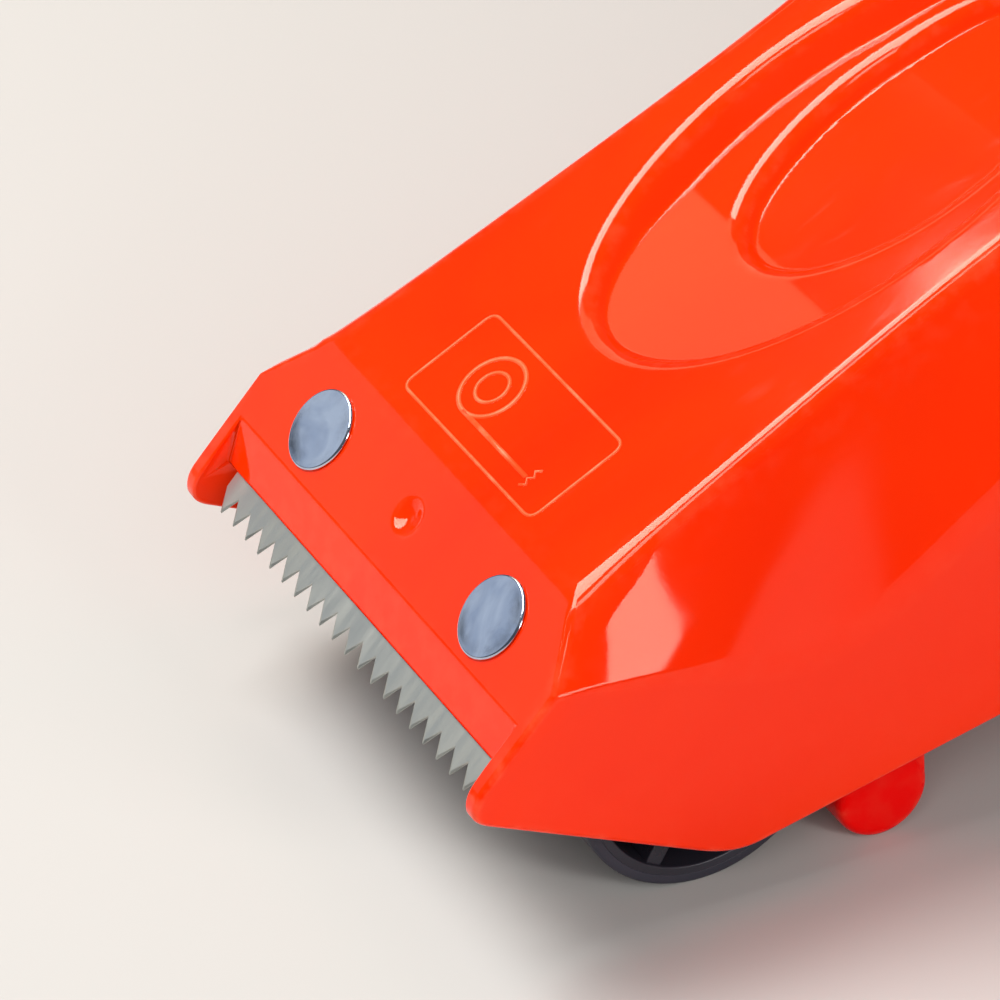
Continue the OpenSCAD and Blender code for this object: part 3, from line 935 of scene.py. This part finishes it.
# ---------------------------------------------------------------- relief on the top
def bead(bm, path, width, height, closed):
    """A low rounded rib along a path of [x, up] points on the top."""
    profile = [(-0.5, -0.25), (-0.42, 0.45), (-0.2, 0.9), (0.2, 0.9), (0.42, 0.45), (0.5, -0.25)]
    n = len(path)
    rings = []
    for i, p in enumerate(path):
        p = Vector(p)
        before = Vector(path[(i - 1) % n] if closed or i else path[0])
        after = Vector(path[(i + 1) % n] if closed or i < n - 1 else path[-1])
        t = (after - before).normalized()
        side = Vector((t[1], -t[0]))
        rings.append([bm.verts.new((*(p + side * width * a), height * b)) for a, b in profile])
    for i in range(n if closed else n - 1):
        a, b = rings[i], rings[(i + 1) % n]
        for j in range(len(profile) - 1):
            bm.faces.new([a[j], a[j + 1], b[j + 1], b[j]])
    if not closed:
        bm.faces.new(rings[0])
        bm.faces.new(rings[-1])


def circle(centre, radius, n=40):
    turns = [mix(0.0, 2 * math.pi, i / n) for i in range(n)]
    return [(centre[0] + radius * math.cos(a), centre[1] + radius * math.sin(a)) for a in turns]


def build_relief():
    """A thin frame with a plain picture of a roll of tape and its free end."""
    bm = bmesh.new()
    half, low, high = 14.4, 2.3, 14.6
    corners = [(-half, low), (half, low), (half, high), (-half, high)]
    bead(bm, rounded(corners, 1.4, 6), 0.42, 0.14, True)
    roll, roll_r, core_r, tape_end = (-5.2, 8.9), 3.9, 2.0, 9.0
    bead(bm, circle(roll, roll_r), 0.6, 0.18, True)
    bead(bm, circle(roll, core_r, n=28), 0.5, 0.18, True)
    tape = roll[1] - roll_r
    bead(bm, [(roll[0], tape), (tape_end, tape)], 0.6, 0.18, False)
    torn = [(tape_end + 0.2 + 0.7 * (i % 2), tape - 1.1 + 0.55 * i) for i in range(6)]
    bead(bm, torn, 0.4, 0.16, False)
    return mesh_from(bm, "top_relief", RIDGE_PLANE)


finish_piece(build_relief(), "body", "shell", look="relief")


# ---------------------------------------------------------------- press roller
def tube_profile(x0, x1, r0, r1, edge):
    """Closed [x, r] profile of a tube with rounded corners."""
    return rounded([(x0, r0), (x1, r0), (x1, r1), (x0, r1)], edge)


ROLLER_R = 14.5
ROLLER_HALF = 29.5
CORE_R = 13.3
SPOKE_TURN = math.radians(2)


def spoke_wheel(bm, centre, x0, x1, r0, r1, half_t, turn):
    """Six flat spokes round an axis along X."""
    count = 6
    corners = [(r0, -half_t), (r1, -half_t), (r1, half_t), (r0, half_t)]
    for k in range(count):
        slab(bm, turned(centre, turn + 2 * math.pi * k / count, corners), x0, x1)


def build_roller():
    bm = bmesh.new()
    sleeve = tube_profile(-ROLLER_HALF, ROLLER_HALF, CORE_R, ROLLER_R, (0.08, 0.08, 0.5, 0.5))
    lathe(bm, sleeve, ROLLER, 160)
    finish_piece(mesh_from(bm, "roller_sleeve"), "press_roller", "roller_rubber", "roller_tyre")

    bm = bmesh.new()
    wall, bore, hub_r, web, inset = 1.0, AXLE_R + 0.05, 4.6, 1.2, 0.4
    rim = tube_profile(-ROLLER_HALF, ROLLER_HALF, CORE_R - wall, CORE_R, (0.25, 0.25, 0.06, 0.06))
    lathe(bm, rim, ROLLER, 128)
    lathe(bm, tube_profile(-ROLLER_HALF, ROLLER_HALF, bore, hub_r, 0.3), ROLLER)
    lathe(bm, tube_profile(-web, web, hub_r - 0.2, CORE_R - 0.6, 0.1), ROLLER)
    spoke_half = ROLLER_HALF - inset
    spoke_wheel(bm, ROLLER, -spoke_half, spoke_half, hub_r - 0.7, CORE_R - 0.5, 1.0, SPOKE_TURN)
    core = round_edges(mesh_from(bm, "roller_spokes"), 0.25, 2)
    finish_piece(core, "press_roller", "roller_plastic", "roller_core")


build_roller()


# ---------------------------------------------------------------- tape guide
def build_guide():
    """Cross bar with thicker ends, on two flat arms that hang from the pivot pin."""
    foot_r, eye_r, bar_r, waist = 5.2, 4.4, 5.4, 0.4
    out = IN_X - 0.3
    arm_out, arm_t = out - 0.2, 1.8
    outline = [polar(GUIDE, foot_r, math.radians(a)) for a in range(90, 271, 5)]
    outline += [polar(PIVOT, eye_r, math.radians(a)) for a in range(-90, 91, 5)]
    bm = bmesh.new()
    for sign in (1, -1):
        slab(bm, outline, sign * (arm_out - arm_t), sign * arm_out)
    arms = round_edges(mesh_from(bm, "guide_arms"), 0.5, 4, 60)

    bm = bmesh.new()
    bm.from_mesh(arms.data)
    bpy.data.objects.remove(arms)
    half = [(out, 0.0), (out, bar_r), (26, bar_r), (25.4, bar_r - waist)]
    bar = rounded([(-x, r) for x, r in half] + half[::-1], [0, 1.3, 0.5, 0.5, 0.5, 0.5, 1.3, 0], 7)
    lathe(bm, bar, GUIDE, closed=False)
    guide = mesh_from(bm, "tape_guide_moulding")
    flat = guide.modifiers.new("flat", "WEIGHTED_NORMAL")
    flat.mode = "FACE_AREA"
    bake_modifiers(guide)
    finish_piece(guide, "guide", "guide_plastic", "tape_guide")


build_guide()


# ---------------------------------------------------------------- hub
DRUM_R = 37.6
DRUM_OUT = 31.05
DRUM_IN = 17.05
NUT = (12.2, 16.2)
THREAD_R = 2.5


def mirrored(profile, sign):
    """The [x, r] profile on the right side for 1, or on the left side for -1."""
    return [(sign * x, r) for x, r in profile]


def build_drum(sign, side):
    """Ribbed rim that grips the tape core, a plain bore for the bolt and spokes near the cheek."""
    bm = bmesh.new()
    rim = tube_profile(DRUM_IN, DRUM_OUT, DRUM_R - 2.6, DRUM_R - 0.6, 0.5)
    lathe(bm, mirrored(rim, sign), HUB, 160)
    lathe(bm, mirrored(tube_profile(DRUM_IN, DRUM_OUT, SHANK_R + 0.05, 9, 0.4), sign), HUB)
    near, far = DRUM_OUT - 5.4, DRUM_OUT - 0.4
    spoke_wheel(bm, HUB, *sorted((sign * near, sign * far)), 8.2, DRUM_R - 1.8, 2.0, math.radians(-15))
    ribs = 24
    half = [(DRUM_R - 1.4, 0.6), (DRUM_R - 0.3, 0.6), (DRUM_R, 0.25)]
    rib = [(r, -t) for r, t in half] + half[::-1]
    for k in range(ribs):
        outline = turned(HUB, 2 * math.pi * (k + 0.5) / ribs, rib)
        slab(bm, outline, sign * (DRUM_IN + 2), sign * far)
    obj = round_edges(mesh_from(bm, f"drum_{side}_moulding"), 0.25, 2)
    finish_piece(obj, f"drum_{side}", "drum_plastic", f"hub_drum_{side}")


def build_bolt(sign, side):
    """Pan head with a cross recess outside the cheek, plain shank, threaded end."""
    bm = bmesh.new()
    head_r, head_h = 7.0, 2.2
    end, end_cut, pitch, valley = 11.2, 0.3, 0.8, 0.1
    turns = [math.radians(90) * i / 10 for i in range(11)]
    profile = [(PAD_OUT + head_h * (0.45 + 0.55 * math.cos(a)), head_r * math.sin(a) ** 0.8) for a in turns]
    profile += [(PAD_OUT + 0.15, head_r), (PAD_OUT, head_r - 0.2), (PAD_OUT, SHANK_R)]
    profile += [(NUT[1], SHANK_R), (NUT[1], THREAD_R)]
    x = NUT[1]
    while x - pitch > end + end_cut:
        profile += [(x - valley, THREAD_R), (x - pitch / 2, 2.1), (x - pitch + valley, THREAD_R)]
        x -= pitch
    profile += [(end + end_cut, 2.3), (end, 1.9), (end, 0)]
    lathe(bm, mirrored(profile, sign), HUB, 72, closed=False)
    obj = mesh_from(bm, f"bolt_{side}")

    cut = bmesh.new()
    bar, half_t, floor = 3.1, 0.55, PAD_OUT + 0.9
    corners = [(-bar, -half_t), (bar, -half_t), (bar, half_t), (-bar, half_t)]
    for angle in (45, 135):
        outline = turned(HUB, math.radians(angle), corners)
        slab(cut, outline, *sorted((sign * floor, sign * (PAD_OUT + 4))))
    cutter = mesh_from(cut, f"bolt_{side}_cutter")
    recess = obj.modifiers.new("recess", "BOOLEAN")
    recess.object = cutter
    recess.operation = "DIFFERENCE"
    recess.solver = "EXACT"
    recess.use_self = True
    bake_modifiers(obj)
    bpy.data.objects.remove(cutter)
    round_edges(obj, 0.12, 2, 35)
    finish_piece(obj, "body", "zinc_steel", f"hub_bolt_{side}")


def build_nut(sign, side):
    bm = bmesh.new()
    flats, per_flat, corner_r = 6, 6, 5.2
    bores = flats * per_flat
    outline = [polar(HUB, corner_r, math.radians(360 / flats * k)) for k in range(flats)]
    hole = [polar(HUB, THREAD_R, math.radians(360 / bores * k)) for k in range(bores)]
    for x in NUT:
        rim = [bm.verts.new(row(sign * x, *p)) for p in outline]
        bore = [bm.verts.new(row(sign * x, *p)) for p in hole]
        for k in range(flats):
            inner = [bore[(per_flat * k + j) % bores] for j in range(per_flat, -1, -1)]
            bm.faces.new([rim[k], rim[(k + 1) % flats]] + inner)
    bmesh.ops.recalc_face_normals(bm, faces=bm.faces)

    def far_from_axis(edge):
        p = edge.verts[0].co
        return (p - row(p.x * 1000, *HUB)).length > 0.004

    open_edges = [e for e in bm.edges if len(e.link_faces) == 1]
    bmesh.ops.bridge_loops(bm, edges=[e for e in open_edges if far_from_axis(e)])
    bmesh.ops.bridge_loops(bm, edges=[e for e in bm.edges if len(e.link_faces) == 1])
    obj = round_edges(mesh_from(bm, f"nut_{side}"), 0.3, 2, 25)
    finish_piece(obj, "body", "zinc_steel", f"hub_nut_{side}")


def build_wave_spring(sign, side):
    """A flat ring bent into three waves between the drum and the cheek."""
    bm = bmesh.new()
    steps, waves, thick, travel, r0, r1 = 120, 3, 0.3, 0.28, 4.3, 6.5
    rings = []
    for i in range(steps):
        a = 2 * math.pi * i / steps
        x = IN_X - 0.46 + travel * math.cos(waves * a)
        corners = ((r0, x - thick / 2), (r1, x - thick / 2), (r1, x + thick / 2), (r0, x + thick / 2))
        places = [row(sign * cx, HUB[0] + r * math.cos(a), HUB[1] + r * math.sin(a)) for r, cx in corners]
        rings.append([bm.verts.new(p) for p in places])
    join_rings(bm, rings, closed=True)
    obj = round_edges(mesh_from(bm, f"wave_spring_{side}"), 0.06, 2)
    finish_piece(obj, "body", "spring_steel", f"hub_spring_{side}")


def build_washer(sign, name, node, centre, profile):
    bm = bmesh.new()
    lathe(bm, mirrored(profile, sign), centre, 72)
    finish_piece(mesh_from(bm, name), "body", "nylon", node)


def build_pad(sign, name):
    """Round pad moulded on the cheek under the bolt's head, and the boss for the roller's axle."""
    bm = bmesh.new()
    lathe(bm, mirrored(tube_profile(33.4, PAD_OUT, SHANK_R + 0.05, 15, 0.45), sign), HUB, 128)
    lathe(bm, mirrored(tube_profile(30.5, 32.6, AXLE_R, 5.0, 0.25), sign), ROLLER, 72)
    finish_piece(mesh_from(bm, name), "body", "shell")


def build_pin(name, node, centre, r):
    bm = bmesh.new()
    half = OUT_X - 0.9
    profile = rounded([(-half, 0.0), (-half, r), (half, r), (half, 0.0)], [0, 0.25, 0.25, 0], 3)
    lathe(bm, profile, centre, 48, closed=False)
    finish_piece(mesh_from(bm, name), "body", "zinc_steel", node)


DRUM_WASHER = tube_profile(NUT[1], 17.0, SHANK_R, 7.5, 0.12)
AXLE_WASHER = tube_profile(30.0, 30.5, AXLE_R, 4.4, 0.12)

for sign, side in ((1, "right"), (-1, "left")):
    build_drum(sign, side)
    build_bolt(sign, side)
    build_nut(sign, side)
    build_wave_spring(sign, side)
    build_washer(sign, f"drum_washer_{side}", f"hub_washer_{side}", HUB, DRUM_WASHER)
    build_washer(sign, f"axle_washer_{side}", f"roller_washer_{side}", ROLLER, AXLE_WASHER)
    build_pad(sign, f"cheek_pads_{side}")
build_pin("axle", "roller_axle", ROLLER, AXLE_R)
build_pin("pivot_pin", "guide_pin", PIVOT, PIN_R)


# ---------------------------------------------------------------- studio
CAMERA_PLACE = (508.2, -252.2, 411.6)
CAMERA_LOOK = (-0.7404, 0.3834, -0.5521)
CAMERA_LENS = 236.95


def build_floor():
    """A pale card of 6 m, with faint unevenness in its colour and gloss."""
    bm = bmesh.new()
    half, n = 3.0, 24
    places = [mix(-half, half, i / n) for i in range(n + 1)]
    grid = [[bm.verts.new((x, y, 0)) for x in places] for y in places]
    for a, b in zip(grid, grid[1:]):
        for i in range(n):
            bm.faces.new([a[i], a[i + 1], b[i + 1], b[i]])
    data = bpy.data.meshes.new("floor")
    bm.to_mesh(data)
    bm.free()
    obj = add_object("floor", data)
    f = Finish("floor_card")
    tint = f.ramp(f.noise(3, 2), 0.3, 0.7)
    f.feed(f.shader.inputs["Base Color"], f.blend(tint, srgb(196, 193, 188), srgb(192, 189, 184)))
    f.feed(f.shader.inputs["Roughness"], f.ramp(f.noise(8, 2), 0.3, 0.7, 0.55, 0.62))
    obj.data.materials.append(f.material)


def softbox(name, target, direction, distance, size, power, colour=(1, 1, 1), mirrored=True, roll=0.0):
    """A soft rectangular lamp at a distance in one direction from its target, unseen by the camera."""
    light = bpy.data.lights.new(name, "AREA")
    light.shape = "RECTANGLE"
    light.size, light.size_y = size
    light.energy = power
    light.color = colour
    obj = bpy.data.objects.new(name, light)
    obj.location = target + Vector(direction).normalized() * distance
    aim = (-Vector(direction)).to_track_quat("-Z", "Y") @ Quaternion((0, 0, 1), math.radians(roll))
    obj.rotation_euler = aim.to_euler()
    obj.visible_camera = False
    obj.visible_glossy = mirrored
    bpy.context.scene.collection.objects.link(obj)


def build_studio():
    build_floor()
    world = bpy.data.worlds.new("studio")
    bpy.context.scene.world = world
    world.use_nodes = True
    background = world.node_tree.nodes["Background"]
    background.inputs["Color"].default_value = (0.85, 0.9, 1.0, 1)
    background.inputs["Strength"].default_value = 0.12
    nose = row(0, 20, 35)
    softbox("key", nose, (-0.42, -0.32, 0.84), 1.0, (0.66, 0.4), 13)
    softbox("camera_fill", nose, (0.74, -0.38, 0.55), 1.3, (1.0, 1.0), 8, mirrored=False)
    softbox("right_patch", nose, (0.87, 0.275, 0.375), 1.0, (0.52, 0.2), 3.2, roll=-50)
    softbox("back_left", nose, (-0.72, 0.12, 0.66), 1.0, (0.46, 0.4), 1.2, (1.0, 0.78, 0.5))
    softbox("overhead", nose, (0.05, -0.35, 0.93), 0.9, (0.16, 0.16), 0.7)
    softbox("front_left", nose, (-0.74, -0.60, 0.31), 1.0, (0.5, 0.35), 0.35, (0.8, 0.88, 1.0))


def build_camera():
    camera = bpy.data.cameras.new("camera")
    camera.sensor_width = 36
    camera.lens = CAMERA_LENS
    camera.clip_start = 0.01
    obj = bpy.data.objects.new("camera", camera)
    obj.location = row(*CAMERA_PLACE)
    obj.rotation_euler = Vector(CAMERA_LOOK).to_track_quat("-Z", "Y").to_euler()
    bpy.context.scene.collection.objects.link(obj)
    bpy.context.scene.camera = obj


build_studio()
build_camera()
bpy.context.scene.view_settings.view_transform = "Standard"
